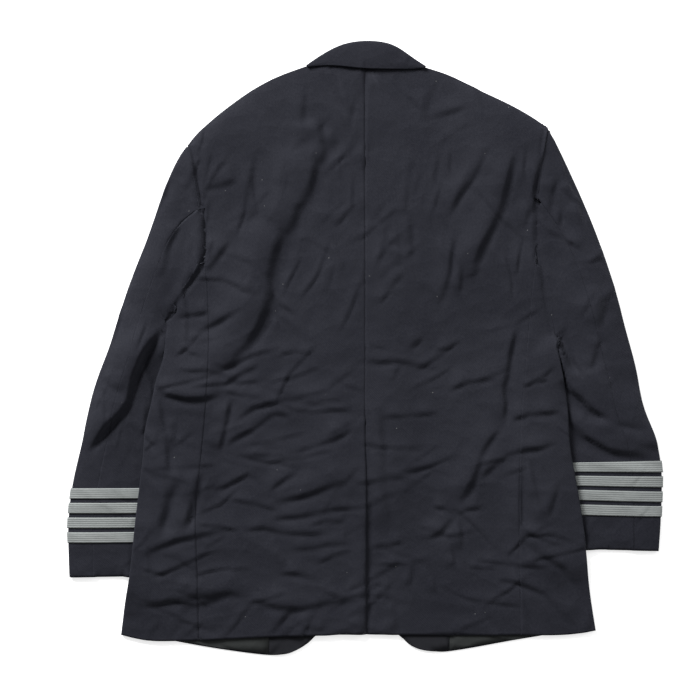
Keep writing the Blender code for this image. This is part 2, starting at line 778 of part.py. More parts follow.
LAPELS = {
    LEFT: {"roll": [(.014, .105), (-.0565, .332)],
           "edge": [(.006, .105), (-.030, .140), (-.072, .210), (-.112, .292)],
           "leaf": [(-.058, .336), (-.076, .374), (-.112, .330), (-.088, .3105)]},
    RIGHT: {"roll": [(.006, .165), (.0595, .332)],
            "edge": [(.016, .165), (.040, .185), (.078, .232), (.114, .292)],
            "leaf": [(.061, .336), (.079, .374), (.115, .330), (.091, .3105)]},
}


def on_floor(_x, _y):
    return FLOOR_LAYER


def build_lapel(side):
    """Face down, the lapel and the collar's leaf lie under the front."""
    shape = LAPELS[side]
    roll, edge = spline(shape["roll"]), spline(shape["edge"])
    top = spline([shape["roll"][-1], shape["edge"][-1]])
    bottom = spline([shape["roll"][0], shape["edge"][0]])
    patch = coons(bottom, top, roll, edge)
    cloth(f"lapel_{side}", laid(patch, on_floor, steps(3), steps(6)))
    inner_low, inner_high, outer_high, outer_low = shape["leaf"]
    leaf = coons(spline([inner_low, outer_low]), spline([inner_high, outer_high]),
                 spline([inner_low, inner_high]), spline([outer_low, outer_high]))
    cloth(f"collar_leaf_{side}", laid(leaf, on_floor, steps(2), steps(2)))


INSIDE = {
    LEFT: {"facing": {"bottom": [(-.1285, -.4135), (-.112, -.4140), (-.099, -.4118)],
                      "edge": [(-.099, -.4118), (-.077, -.4005), (-.066, -.3900), (-.057, -.378)],
                      "top_y": -.366},
           "lining": [(-.1291, -.4132), (-.198, -.4042), (-.248, -.3960)]},
    RIGHT: {"facing": {"bottom": [(.1145, -.4080), (.104, -.4090), (.094, -.4100)],
                       "edge": [(.094, -.4100), (.072, -.4085), (.057, -.3990), (.045, -.386)],
                       "top_y": -.366},
            "lining": [(.1151, -.4078), (.150, -.4018), (.240, -.3872)]},
}


def build_inside(side):
    """The facing and the lining, on the front's inner face where they show at its hem."""
    height = front_height(side)

    def on_front(x, y):
        return height(x, y) + WALL / 2 + LAYER_GAP + THIN_WALL / 2
    shape = INSIDE[side]["facing"]
    top_y = shape["top_y"]
    first, last = shape["bottom"][0], shape["edge"][-1]
    facing = coons(spline(shape["bottom"]), spline([(first[0], top_y), (last[0], top_y)]),
                   spline([first, (first[0], top_y)]), spline(shape["edge"] + [(last[0], top_y)]))
    cloth(f"facing_{side}", laid(facing, on_front, steps(4), steps(3)), WOOL, THIN_WALL)
    hem = INSIDE[side]["lining"]
    level = [(x, top_y) for x, _ in (hem[0], hem[-1])]
    lining = coons(spline(hem), spline(level), spline([hem[0], level[0]]),
                   spline([hem[-1], level[1]]))
    cloth(f"lining_{side}", laid(lining, on_front, steps(5), steps(2)), LINING, THIN_WALL)


def flap_height(x, y):
    return FLOOR_LAYER + over_sleeve(x, y) * FLAP_SINK


def build_flap(side):
    """The hip pocket's flap lies under the front, on the floor and the tucked sleeve."""
    x0, x1, y0, y1 = FLAPS[side]
    patch = coons(spline([(x0, y0), (x1, y0)]), spline([(x0, y1), (x1, y1)]),
                  spline([(x0, y0), (x0, y1)]), spline([(x1, y0), (x1, y1)]))
    cloth(f"pocket_flap_{side}", laid(patch, flap_height, steps(6), steps(2)))


def build_buttons():
    """Metal buttons stand out of the left front, so they lie on the floor."""
    for k in range(BUTTONS):
        bm = bmesh.new()
        bmesh.ops.create_cone(bm, cap_ends=True, segments=20, radius1=BUTTON_FACE_RADIUS,
                              radius2=BUTTON_RADIUS, depth=BUTTON_HEIGHT)
        mesh = bpy.data.meshes.new(f"button_{k + 1}")
        bm.to_mesh(mesh)
        bm.free()
        button = place(f"button_{k + 1}", mesh, *BUTTON)
        button.location = (CENTRE, TOP_BUTTON_Y - BUTTON_PITCH * k, BUTTON_HEIGHT / 2)


def centre_on_origin():
    """The origin is below the middle of the whole laid out jacket."""
    empty = bpy.data.objects.new("jacket_origin", None)
    COLLECTION.objects.link(empty)
    bpy.context.view_layer.update()
    depsgraph = bpy.context.evaluated_depsgraph_get()
    points = []
    for obj in COLLECTION.objects:
        if obj.type == "MESH":
            obj.parent = empty
            shape = obj.evaluated_get(depsgraph)
            points += [shape.matrix_world @ vert.co for vert in shape.data.vertices]
    middle = [(max(p[i] for p in points) + min(p[i] for p in points)) / 2 for i in (0, 1)]
    empty.location = (-middle[0], -middle[1], -min(p.z for p in points))


def main():
    clear_scene()
    for side in SIDES:
        build_back(side)
        build_side(side)
        build_front(side)
        build_sleeve(side)
        build_braids(side)
        build_lapel(side)
        build_inside(side)
        build_flap(side)
    build_collar()
    build_buttons()
    centre_on_origin()


main()
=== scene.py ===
# %% [markdown]
# # Pilot uniform jacket, laid face down
# The jacket lies on its front, so a camera above it sees the back, both sleeves and the fall of
# the collar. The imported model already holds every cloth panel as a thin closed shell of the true
# outline. This lesson makes those shells fine enough to carry creases, presses the creases and
# seams in, and gives each cloth its own weave.

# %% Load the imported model
import math

import bmesh
import bpy
import numpy as np
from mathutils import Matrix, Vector, kdtree
from mathutils.bvhtree import BVHTree


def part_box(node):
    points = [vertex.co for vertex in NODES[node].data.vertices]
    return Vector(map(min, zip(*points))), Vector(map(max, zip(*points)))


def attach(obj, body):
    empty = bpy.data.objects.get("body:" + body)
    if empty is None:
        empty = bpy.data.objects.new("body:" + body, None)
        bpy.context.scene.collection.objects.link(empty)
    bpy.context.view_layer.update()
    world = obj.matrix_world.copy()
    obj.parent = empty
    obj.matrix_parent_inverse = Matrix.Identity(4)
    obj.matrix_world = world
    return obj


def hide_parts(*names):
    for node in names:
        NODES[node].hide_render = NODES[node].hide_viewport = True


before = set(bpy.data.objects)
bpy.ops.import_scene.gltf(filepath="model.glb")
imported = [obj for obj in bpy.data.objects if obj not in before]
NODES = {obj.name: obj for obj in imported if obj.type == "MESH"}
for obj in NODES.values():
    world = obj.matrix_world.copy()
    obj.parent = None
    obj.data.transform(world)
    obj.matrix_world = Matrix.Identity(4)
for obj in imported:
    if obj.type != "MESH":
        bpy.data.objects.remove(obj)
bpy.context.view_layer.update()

MM = 0.001

# %% [markdown]
# ## Camera
# A garment laid flat is best seen from straight above. A long lens keeps its outline true, so the
# camera is high and its lens is long. Its place is set over the middle of the cloth.

# %% Camera over the cloth
LENS, SENSOR = 85, 36
VIEW_WIDTH = 0.945
CAMERA_PLACE = Vector((-0.0202, -0.0020, 0))

camera_data = bpy.data.cameras.new("camera")
camera_data.lens = LENS
camera_data.sensor_width = SENSOR
camera = bpy.data.objects.new("camera", camera_data)
camera.location = CAMERA_PLACE + Vector((0, 0, VIEW_WIDTH * LENS / SENSOR + 5 * MM))
bpy.context.scene.collection.objects.link(camera)
bpy.context.scene.camera = camera
print("camera height:", round(camera.location.z, 3))

# %% [markdown]
# ## Floor and light
# The floor is a plain pale sheet. One wide lamp high on the upper left gives every ridge a lit
# side and a soft dark side, and the pale sky around fills the shadows, as in a plain studio.

# %% Floor
bpy.ops.object.select_all(action="DESELECT")
bpy.ops.mesh.primitive_plane_add(size=30, location=(0, 0, -0.2 * MM))
floor = bpy.context.object
floor.name = "studio_floor"
floor_material = bpy.data.materials.new("pale_floor")
floor_material.use_nodes = True
floor_shader = floor_material.node_tree.nodes["Principled BSDF"]
floor_shader.inputs["Base Color"].default_value = (0.90, 0.90, 0.90, 1)
floor_shader.inputs["Roughness"].default_value = 0.9
floor_shader.inputs["Emission Color"].default_value = (1, 1, 1, 1)
floor_shader.inputs["Emission Strength"].default_value = 0.65
floor.data.materials.append(floor_material)

# %% Lamps and sky
def soft_lamp(name, place, aim, size, power):
    """A square lamp that faces the point it is aimed at."""
    lamp_data = bpy.data.lights.new(name, "AREA")
    lamp_data.size = size
    lamp_data.energy = power
    lamp = bpy.data.objects.new(name, lamp_data)
    lamp.location = place
    lamp.rotation_euler = (Vector(aim) - Vector(place)).to_track_quat("-Z", "Y").to_euler()
    bpy.context.scene.collection.objects.link(lamp)
    return lamp


soft_lamp("window_lamp", (-2.1, 3.2, 2.35), (0, 0, 0), 1.7, 350)
soft_lamp("side_lamp", (2.6, 1.6, 2.4), (0, 0, 0), 1.6, 40)

world = bpy.data.worlds.new("studio_sky")
world.use_nodes = True
world.node_tree.nodes["Background"].inputs["Color"].default_value = (1, 1, 1, 1)
world.node_tree.nodes["Background"].inputs["Strength"].default_value = 0.22
bpy.context.scene.world = world
bpy.context.scene.view_settings.view_transform = "Standard"
print("lamps:", [lamp.name for lamp in bpy.data.lights])

# %% [markdown]
# ## Uneven ground
# Crumpled cloth needs soft random hills. Gradient noise gives them: each corner of a grid has a
# slope in a random direction, and the slopes are blended in between. The random numbers are
# seeded, so the jacket comes out the same every time.

# %% Gradient noise
GRID = 64


def smooth(share):
    """A share from 0 to 1 that starts and stops gently."""
    share = np.clip(share, 0, 1)
    return share * share * (3 - 2 * share)


def hills(x, y, size, seed):
    """Heights from about -0.7 to 0.7, with hills this size."""
    turns = np.random.default_rng(seed).uniform(0, 2 * math.pi, (GRID, GRID))
    across, up = x / size + GRID / 2, y / size + GRID / 2
    column, row = np.floor(across).astype(int), np.floor(up).astype(int)
    height = np.zeros_like(x)
    for step_x in (0, 1):
        for step_y in (0, 1):
            turn = turns[(column + step_x) % GRID, (row + step_y) % GRID]
            from_x = across - column - step_x
            from_y = up - row - step_y
            slope = np.cos(turn) * from_x + np.sin(turn) * from_y
            height += slope * smooth(1 - abs(from_x)) * smooth(1 - abs(from_y))
    return height


def folds(x, y, size, seed):
    """Narrow ridges between flat places, as in cloth that was packed tight."""
    return (1 - np.clip(5 * abs(hills(x, y, size, seed)), 0, 1)) ** 1.6 - 0.2


# %% [markdown]
# ## The main creases
# Creases decide how the cloth reads, so the main ones are listed one by one. Each row has a height
# and a width in millimetres and the line along which its dark side runs, in millimetres from
# the middle of the jacket. They lie as the jacket was worn and packed: fans below the shoulders and
# the armpits, prints of the pockets below, and long cross folds through the skirt. The last row
# is the edge of the vent, which stands up a little along its shadow.

# %% Creases of the back, as height, width and line
BACK_CREASES = [
    (4.2, 12, [(-66, 314), (-58, 281), (-53, 249)]),
    (6.5, 16, [(-62, 262), (-70, 236), (-77, 211), (-90, 184), (-104, 150)]),
    (6.5, 16, [(-108, 170), (-122, 130), (-128, 92), (-133, 55), (-146, 28)]),
    (5.0, 13, [(-131, 65), (-142, 38), (-158, 7), (-180, -17), (-205, -36)]),
    (2.0, 6, [(-197, -53), (-167, -34), (-140, -20)]),
    (1.6, 5, [(-146, -7), (-175, -22), (-201, -34)]),
    (1.8, 5, [(-47, 365), (-34, 338), (-23, 322), (-12, 327)]),
    (1.4, 5, [(-18, 298), (-1, 290)]),
    (1.6, 6, [(-53, 314), (-42, 292), (-31, 273)]),
    (1.0, 6, [(-82, 368), (-84, 310), (-82, 254)]),
    (1.8, 7, [(-150, 265), (-153, 227), (-147, 184), (-174, 165)]),
    (1.4, 6, [(-217, 217), (-192, 220), (-169, 227)]),
    (1.4, 6, [(-208, 203), (-211, 165)]),
    (1.8, 7, [(-180, 146), (-197, 124), (-215, 103)]),
    (1.4, 5, [(-202, 146), (-207, 130)]),
    (2.0, 6, [(-169, 82), (-142, 71)]),
    (2.4, 7, [(-153, 63), (-188, 44), (-228, 20)]),
    (2.0, 6, [(-207, 49), (-255, 44)]),
    (4.6, 9, [(205, 271), (196, 238), (185, 192), (171, 165), (155, 130), (142, 92)]),
    (2.4, 7, [(166, 276), (155, 254), (142, 227), (126, 200), (104, 165)]),
    (2.6, 7, [(123, 165), (117, 141), (113, 106), (104, 68), (96, 47)]),
    (1.6, 6, [(131, 125), (126, 71)]),
    (1.8, 6, [(230, 198), (220, 179), (215, 160)]),
    (1.8, 7, [(59, 187), (61, 146), (62, 111)]),
    (1.4, 5, [(18, 179), (28, 157), (36, 138), (55, 128)]),
    (1.6, 6, [(69, 310), (96, 313), (120, 322), (142, 330)]),
    (1.4, 5, [(53, 344), (80, 319)]),
    (2.0, 7, [(-184, -110), (-151, -80), (-105, -68), (-8, -68)]),
    (1.6, 5, [(-105, -84), (-45, -82), (-8, -84)]),
    (2.0, 6, [(-197, -133), (-151, -109), (-127, -90), (-93, -90)]),
    (2.2, 7, [(-105, -145), (-45, -124), (-8, -105)]),
    (1.8, 6, [(-134, -196), (-110, -176), (-85, -160)]),
    (2.6, 7, [(-131, -206), (-70, -192), (-8, -172)]),
    (2.0, 6, [(-136, -230), (-76, -222), (-8, -210)]),
    (1.8, 5, [(-216, -190), (-192, -188), (-158, -169), (-136, -184)]),
    (2.6, 7, [(-306, -286), (-281, -268), (-252, -257), (-216, -249), (-173, -245)]),
    (2.2, 6, [(-173, -245), (-139, -241), (-112, -249), (-76, -248), (-42, -252)]),
    (1.6, 5, [(-127, -252), (-115, -276), (-100, -295)]),
    (1.4, 5, [(-301, -296), (-265, -302)]),
    (1.4, 5, [(-105, -273), (-59, -268), (-8, -263)]),
    (1.8, 6, [(-122, -304), (-88, -304), (-63, -310)]),
    (3.0, 9, [(-310, -348), (-259, -338), (-223, -334), (-185, -329), (-151, -334)]),
    (2.6, 8, [(-165, -331), (-117, -349), (-90, -350), (-45, -341), (-8, -341)]),
    (1.6, 6, [(-250, -353), (-185, -333)]),
    (1.8, 6, [(-88, -350), (-103, -356), (-127, -387)]),
    (1.4, 5, [(-88, -373), (-51, -380)]),
    (1.8, 9, [(22, -63), (23, -99), (24, -133), (24, -176), (32, -256)]),
    (1.8, 6, [(-24, -26), (-3, -17), (46, -18), (68, -24), (104, -28)]),
    (1.2, 5, [(46, -20), (34, -44)]),
    (1.6, 6, [(55, -5), (82, 20)]),
    (2.2, 6, [(109, -56), (138, -47), (181, -38)]),
    (4.6, 9, [(208, 38), (198, -1), (193, -32), (186, -51), (188, -75), (186, -109)]),
    (3.0, 8, [(186, -100), (169, -121), (155, -145), (138, -188), (126, -215)]),
    (2.2, 6, [(193, -97), (220, -88), (266, -86)]),
    (2.2, 7, [(140, -182), (165, -164), (193, -145), (215, -138), (266, -126)]),
    (2.4, 7, [(124, -221), (101, -249), (82, -261)]),
    (1.6, 5, [(124, -221), (108, -214), (89, -213)]),
    (1.6, 5, [(124, -221), (142, -213), (162, -211)]),
    (1.8, 6, [(126, -225), (131, -252), (131, -276)]),
    (1.4, 5, [(18, -92), (60, -92), (104, -87)]),
    (1.8, 6, [(34, -172), (89, -155), (131, -142)]),
    (1.4, 5, [(3, -268), (27, -265), (55, -259)]),
    (1.6, 5, [(68, -286), (62, -306), (58, -326)]),
    (1.6, 5, [(82, -292), (92, -310), (101, -329)]),
    (1.6, 5, [(116, -264), (123, -298)]),
    (2.4, 7, [(211, -256), (240, -278), (266, -295), (290, -329)]),
    (1.6, 5, [(223, -264), (232, -292)]),
    (2.0, 6, [(171, -314), (205, -314), (242, -331), (266, -356), (285, -377)]),
    (1.4, 5, [(40, -341), (43, -387)]),
    (2.6, 6, [(3, -110), (2, -260), (1, -480)]),
]

# %% Prints of the pockets and their flaps, which press through from inside
POCKET_PRINTS = [
    (4.4, 6, [(-283, -44), (-267, -62), (-240, -68), (-216, -68), (-190, -62)]),
    (3.0, 6, [(-180, -66), (-184, -97), (-192, -118), (-199, -140)]),
    (3.0, 7, [(-276, -62), (-271, -109), (-263, -180)]),
    (1.6, 5, [(-255, -92), (-261, -133)]),
    (3.8, 8, [(-222, -160), (-235, -213), (-245, -250)]),
    (3.8, 11, [(-240, -165), (-269, -203), (-275, -232), (-277, -268)]),
    (3.4, 6, [(211, -132), (208, -206), (209, -246), (222, -260)]),
    (2.0, 5, [(220, -145), (227, -182), (243, -234)]),
    (1.8, 6, [(243, -234), (251, -206), (263, -176)]),
]

# %% Creases of the sleeves
SLEEVE_CREASES = [
    (14.0, 12, [(262, -28), (280, -56), (306, -80), (336, -94), (384, -108)]),
    (12.0, 11, [(262, -84), (296, -118), (333, -138), (408, -152)]),
    (9.0, 9, [(256, 22), (264, -6), (280, -34), (304, -62)]),
    (3.4, 5, [(-238, 279), (-233, 254), (-223, 200), (-216, 165), (-216, 138), (-222, 112), (-240, 88)]),
    (2.0, 5, [(-216, 138), (-222, 112), (-240, 88), (-264, 44)]),
    (3.0, 5, [(247, 290), (236, 250), (230, 215), (231, 165), (232, 125), (240, 85), (250, 50)]),
    (7.0, 10, [(300, -104), (336, -120), (404, -134)]),
    (2.0, 7, [(258, 233), (252, 206), (247, 179)]),
    (1.6, 6, [(263, 195), (261, 165)]),
    (1.8, 6, [(288, 203), (293, 165)]),
    (2.2, 6, [(236, 165), (252, 157), (271, 146), (290, 130)]),
    (2.2, 9, [(325, 84), (318, 54), (312, 25)]),
    (2.0, 8, [(317, 20), (311, -5), (306, -32)]),
    (1.8, 7, [(-262, 238), (-270, 205), (-285, 178)]),
    (1.6, 6, [(-310, 150), (-322, 110), (-326, 72)]),
    (1.8, 7, [(-245, 176), (-262, 140), (-276, 92)]),
    (1.6, 6, [(-355, -35), (-338, -52), (-322, -62)]),
    (1.4, 6, [(-350, -180), (-330, -196), (-312, -205)]),
    (1.4, 6, [(330, -190), (350, -205), (378, -214)]),
]

# %% [markdown]
# Packed cloth also has many short thin creases. They are too many to place one by one, so a seeded
# loop scatters them. On the skirt they run mostly across, and above the waist mostly down.

# %% Short creases
SHORT_CREASES = 240
SHORT_SEED = 7
HALF_WIDTH, LOWEST, HIGHEST = 400, -395, 375
STEEP_ABOVE, STEEP_BESIDE = 40, 280
STEEP_TURN, FLAT_TURN, TURN_SPREAD = 1.25, 0.25, 0.45
SAME_WAY = [1, 1, 1, -1]
HALF_LENGTHS, BEND = (18, 60), 0.18
SHORT_HEIGHTS, SHORT_WIDTHS = (0.5, 1.5), (3.0, 4.2)


def short_creases():
    """Rows of short creases, each with a slight bend."""
    rng = np.random.default_rng(SHORT_SEED)
    rows = []
    for _ in range(SHORT_CREASES):
        middle = np.array([rng.uniform(-HALF_WIDTH, HALF_WIDTH), rng.uniform(LOWEST, HIGHEST)])
        steep = middle[1] > STEEP_ABOVE or abs(middle[0]) > STEEP_BESIDE
        mean_turn = STEEP_TURN if steep else FLAT_TURN
        turn = rng.normal(mean_turn, TURN_SPREAD) * rng.choice(SAME_WAY)
        half = rng.uniform(*HALF_LENGTHS) * np.array([math.cos(turn), math.sin(turn)])
        bend = rng.uniform(-BEND, BEND) * np.array([-half[1], half[0]])
        line = [middle - half, middle + bend, middle + half]
        height = rng.uniform(*SHORT_HEIGHTS)
        width = rng.uniform(*SHORT_WIDTHS)
        rows.append((height, width, [tuple(end) for end in line]))
    return rows


SCATTERED = short_creases()

# %% [markdown]
# The left upper arm lies over its forearm: the elbow was bent and the cloth folded over itself.
# That edge is a step and not a ridge, so it has a row of its own with a wide lit side.

# %% The folded elbow
ELBOW_FOLD = (
    10,
    5,
    [(-268, 37), (-296, -5), (-311, -39), (-320, -75), (-329, -87), (-351, -109), (-377, -145)],
)
ELBOW_LIT_WIDTH = 34
LIT_WIDTHS = 2.2
SHARPER = 0.66
TROUGH_SHARE = 0.5
FROM_LIGHT = (0.62, -0.78)
FADE = 0.28
REACH = 3
PEAK_SHIFT = 0.8
UNEVEN, UNEVEN_TURNS, UNEVEN_START = 0.35, 9, 7


def side_and_share(x, y, points):
    """How far each place is from a line, positive on the dark side, and its share along the line."""
    ends = np.array(points, float)
    runs = np.hypot(*np.diff(ends, axis=0).T)
    chord = ends[-1] - ends[0]
    dark = np.sign(chord[0] * FROM_LIGHT[1] - chord[1] * FROM_LIGHT[0])
    nearest = np.full(x.shape, np.inf)
    signed = np.zeros_like(x)
    share = np.zeros_like(x)
    for index, run in enumerate(runs):
        way = (ends[index + 1] - ends[index]) / run
        from_x, from_y = x - ends[index, 0], y - ends[index, 1]
        reach = np.clip(from_x * way[0] + from_y * way[1], 0, run)
        away = np.hypot(from_x - reach * way[0], from_y - reach * way[1])
        turned = dark * (way[0] * from_y - way[1] * from_x)
        nearer = away < nearest
        nearest = np.where(nearer, away, nearest)
        signed = np.where(nearer, np.copysign(away, turned), signed)
        share = np.where(nearer, (runs[:index].sum() + reach) / runs.sum(), share)
    return signed, share


def crease(x, y, height, width, points, lit_width):
    """One crease: a gentle rise on its lit side, then a steep dark side and a shallow trough."""
    ends = np.array(points, float)
    margin = REACH * lit_width
    near = (x > ends[:, 0].min() - margin) & (x < ends[:, 0].max() + margin)
    near &= (y > ends[:, 1].min() - margin) & (y < ends[:, 1].max() + margin)
    relief = np.zeros_like(x)
    if not near.any():
        return relief
    signed, share = side_and_share(x[near], y[near], points)
    ends_fade = smooth(share / FADE) * smooth((1 - share) / FADE)
    from_peak = signed + PEAK_SHIFT * width
    ridge = np.exp(-((from_peak / np.where(from_peak < 0, lit_width, width)) ** 2))
    trough = np.exp(-(((signed - PEAK_SHIFT * width) / width) ** 2))
    uneven = 1 + UNEVEN * np.sin(UNEVEN_TURNS * share + height * UNEVEN_START + width)
    relief[near] = height * ends_fade * uneven * (ridge - TROUGH_SHARE * trough)
    return relief


def creases(x, y, rows):
    """All creases of a table together, in millimetres."""
    total = np.zeros_like(x)
    for height, width, points in rows:
        total += crease(x, y, height, SHARPER * width, points, LIT_WIDTHS * width)
    return total


# %% [markdown]
# ## The whole relief of the back
# Small crumples fill the cloth between the main creases. They run across the skirt and down the
# shoulder blades, so the noise is stretched differently above and below the waist. A slight
# wobble of the places keeps every line from looking drawn.

# %% Relief seen from above
RELIEF_SHARE = 1.3
WOBBLE, WOBBLE_SIZE = 6, 60
CUFF_SIDE, CUFF_TOP, CUFF_RUN, CUFF_CALM = 285, -120, 30, 0.75
LOWEST_TROUGH = -2.2
HIGHEST_RIDGE = 6.5
CRUMPLES = ((70, 1.3, 11), (38, 0.6, 12))


def crumples(x, y, seed_step=0):
    """The small folds of packed cloth, in millimetres."""
    upper = smooth((y + 60) / 160)
    total = 0.8 * hills(x, y, 110, 5 + seed_step)
    for size, height, seed in CRUMPLES:
        skirt = folds(x / 2.8, y + 0.25 * x, size, seed + seed_step)
        blades = folds(x + 0.35 * y, y / 2.8, size, seed + seed_step + 20)
        patches = 0.55 + 0.9 * hills(x, y, 90, seed + seed_step + 40)
        total += height * np.clip(patches, 0.1, 1.3) * (skirt * (1 - upper) + blades * upper)
    return total


def back_relief(x, y):
    """Height that the creases add over each place of the back, in millimetres."""
    wobble_x = x + WOBBLE * hills(x, y, WOBBLE_SIZE, 1)
    wobble_y = y + WOBBLE * hills(x, y, WOBBLE_SIZE, 2)
    rows = BACK_CREASES + POCKET_PRINTS + SLEEVE_CREASES + SCATTERED
    total = creases(wobble_x, wobble_y, rows)
    cuff = smooth((np.abs(x) - CUFF_SIDE) / CUFF_RUN) * smooth((CUFF_TOP - y) / CUFF_RUN)
    total = RELIEF_SHARE * total * (1 - CUFF_CALM * cuff) + crumples(x, y)
    low = LOWEST_TROUGH * np.tanh(np.minimum(total, 0) / LOWEST_TROUGH)
    high = HIGHEST_RIDGE * np.tanh(np.maximum(total, 0) / HIGHEST_RIDGE)
    height, width, points = ELBOW_FOLD
    return low + high + crease(x, y, height, width, points, ELBOW_LIT_WIDTH)


print("creases:", len(BACK_CREASES + POCKET_PRINTS + SLEEVE_CREASES) + 1)

# %% [markdown]
# ## What lies on top
# A sleeve is a flat tube: its upper run shows the creases and its lower run lies on the floor.
# A ray from above finds how high the top of the jacket is at a place, and a point that is much
# lower than that belongs to a lower run and stays where it is.

# %% Tree of all panels, for looking down on them
TOP_PANELS = [
    name for name in NODES
    if name.startswith(("back", "side", "top_sleeve", "under_sleeve", "collar_fall"))
]
FULL_BELOW, NONE_BELOW = 2.2 * MM, 4.0 * MM


def panel_tree(names):
    """One search tree of the named panels."""
    corners, faces = [], []
    for name in names:
        mesh = NODES[name].data
        first = len(corners)
        corners += [vertex.co.copy() for vertex in mesh.vertices]
        faces += [[first + index for index in face.vertices] for face in mesh.polygons]
    return BVHTree.FromPolygons(corners, faces)


top_tree = panel_tree(TOP_PANELS)
LOOKS = ((0, 0), (2 * MM, 0.7 * MM), (-2 * MM, -0.7 * MM))


def top_share(places):
    """1 where a place is on the top layer, 0 where it is well under it."""
    shares = np.ones(len(places))
    for index, (x, y, z) in enumerate(places):
        tops = []
        for step_x, step_y in LOOKS:
            hit = top_tree.ray_cast(Vector((x + step_x, y + step_y, 1)), Vector((0, 0, -1)))[0]
            if hit is not None:
                tops.append(hit.z)
        if tops:
            shares[index] = (NONE_BELOW - (max(tops) - z)) / (NONE_BELOW - FULL_BELOW)
    return smooth(shares)


# %% [markdown]
# ## Fine shells
# A packed panel is a coarse closed shell. Its triangles are joined to quads again and its rim is
# marked as a hard crease, so that a Subdivision Surface modifier rounds the cloth but keeps every
# cut edge.

# %% A fine copy of a panel
WELD = 0.01 * MM
RIM_ANGLE = math.radians(60)


def finish_shape(piece, modifier):
    """Apply the modifier to the piece."""
    bpy.ops.object.select_all(action="DESELECT")
    piece.select_set(True)
    bpy.context.view_layer.objects.active = piece
    bpy.ops.object.modifier_apply(modifier=modifier.name)


def fine_copy(node_name, levels):
    """A panel's shell as fine quads with its cut edges kept."""
    shell = bmesh.new()
    shell.from_mesh(NODES[node_name].data)
    bmesh.ops.remove_doubles(shell, verts=shell.verts, dist=WELD)
    bmesh.ops.join_triangles(
        shell,
        faces=shell.faces[:],
        angle_face_threshold=math.pi,
        angle_shape_threshold=math.pi,
    )
    hard = shell.edges.layers.float.new("crease_edge")
    for edge in shell.edges:
        if edge.calc_face_angle(0) > RIM_ANGLE:
            edge[hard] = 1
    mesh = bpy.data.meshes.new(node_name + "_cloth")
    shell.to_mesh(mesh)
    shell.free()
    piece = bpy.data.objects.new(node_name + "_cloth", mesh)
    bpy.context.scene.collection.objects.link(piece)
    finer = piece.modifiers.new("finer", "SUBSURF")
    finer.levels = finer.render_levels = levels
    finish_shape(piece, finer)
    piece.data.shade_smooth()
    piece.data.set_sharp_from_angle(angle=RIM_ANGLE)
    return piece


def places_of(piece):
    """The piece's vertices as a table of x, y and z."""
    flat = np.empty(3 * len(piece.data.vertices))
    piece.data.vertices.foreach_get("co", flat)
    return flat.reshape(-1, 3)


def move_to(piece, places):
    """Put the piece's vertices at these places."""
    piece.data.vertices.foreach_set("co", places.ravel())
    piece.data.update()


# %% Make every panel fine
SHOWN_LEVELS, HIDDEN_LEVELS = 3, 2
CLOTH_NODES = [name for name in NODES if not name.startswith("button")]
PIECES = {}
for name in CLOTH_NODES:
    shown = name in TOP_PANELS or name.startswith("braid")
    PIECES[name] = fine_copy(name, SHOWN_LEVELS if shown else HIDDEN_LEVELS)
print("faces:", {name: len(piece.data.polygons) for name, piece in PIECES.items()})

# %% [markdown]
# ## Seams
# Packed panels keep a small gap, but sewn cloth has none. Each rim point that has a neighbouring
# panel close by is moved half of the way to it and a hair more, and the cloth behind it follows.
# A sleeve's head goes the whole way. Round the armhole the lower rims go on under the neighbour,
# as a seam allowance does, so nothing shows through where three panels meet. The sewing also
# pulls the panels down into a narrow groove, which is deepest round the armhole.

# %% Close the seams between the panels
SEWN = [name for name in TOP_PANELS if name != "collar_fall"]
SEAM_NEAR = 6.5 * MM
SAME_LEVEL, VENT_LEVEL = 4.5 * MM, 1.4 * MM
SEAM_CLOSED, SEAM_OVERLAP = 0.5, 0.25 * MM
SLEEVE_UNDER, ALLOWANCE = 0.5 * MM, 4.5 * MM
SEAM_FOLLOWS = 14 * MM
SEAM_WIDTH = 2.4 * MM
SEAM_DEPTH, ARMHOLE_DEPTH = 0.15 * MM, 1.6 * MM


def rim_places(piece):
    """The points of the piece's cut edges, each with whether it is on the lower rim."""
    shell = bmesh.new()
    shell.from_mesh(piece.data)
    cut = [edge for edge in shell.edges if edge.calc_face_angle(0) > RIM_ANGLE]
    rim = {corner for edge in cut for corner in edge.verts}
    places = [(corner.co.copy(), corner.normal.z < 0) for corner in rim]
    shell.free()
    return places


def tree_of(places):
    """A search tree of places."""
    tree = kdtree.KDTree(len(places))
    for index, place in enumerate(places):
        tree.insert(place, index)
    tree.balance()
    return tree


SURFACES = {}
for name in SEWN:
    mesh = PIECES[name].data
    corners = [vertex.co.copy() for vertex in mesh.vertices]
    SURFACES[name] = BVHTree.FromPolygons(corners, [tuple(face.vertices) for face in mesh.polygons])


def way_to(place, names, level):
    """The way from a place to the nearest of the named panels, if one is near enough."""
    ways = []
    for name in names:
        near = SURFACES[name].find_nearest(place, SEAM_NEAR)[0]
        if near is not None and abs(near.z - place.z) < level:
            ways.append(near - place)
    return min(ways, key=lambda way: way.length, default=Vector())


